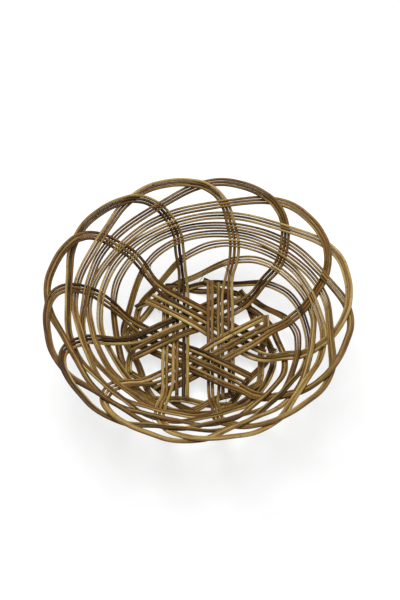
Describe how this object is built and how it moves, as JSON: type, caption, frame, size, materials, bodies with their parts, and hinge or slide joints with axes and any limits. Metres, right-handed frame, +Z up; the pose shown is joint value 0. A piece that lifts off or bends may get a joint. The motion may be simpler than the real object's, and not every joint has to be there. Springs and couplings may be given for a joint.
{
  "type": "open-weave wicker bowl basket",
  "caption": "Round open-weave cane bowl basket with a scalloped looped rim, a star-woven base and a plaited foot ring.",
  "frame": {"origin": "centre of the plane the foot ring rests on", "axes": "+Z up out of the open mouth, +Y towards the back of the bowl as pictured, +X to its right"},
  "size_m": [0.309, 0.3095, 0.0912],
  "materials": {
    "cane": "unpeeled cane, satin, olive brown with darker streaks"
  },
  "bodies": {
    "root": {"rod_01_left": "cane", "rod_01_middle": "cane", "rod_01_right": "cane", "rod_02_left": "cane", "rod_02_middle": "cane", "rod_02_right": "cane", "rod_03_left": "cane", "rod_03_middle": "cane", "rod_03_right": "cane", "rod_04_left": "cane", "rod_04_middle": "cane", "rod_04_right": "cane", "rod_05_left": "cane", "rod_05_middle": "cane", "rod_05_right": "cane", "rod_06_left": "cane", "rod_06_middle": "cane", "rod_06_right": "cane", "rod_07_left": "cane", "rod_07_middle": "cane", "rod_07_right": "cane", "rod_08_left": "cane", "rod_08_middle": "cane", "rod_08_right": "cane", "rod_09_left": "cane", "rod_09_middle": "cane", "rod_09_right": "cane", "rod_10_left": "cane", "rod_10_middle": "cane", "rod_10_right": "cane", "rod_11_left": "cane", "rod_11_middle": "cane", "rod_11_right": "cane", "rod_12_left": "cane", "rod_12_middle": "cane", "rod_12_right": "cane"}
  },
  "joints": []
}
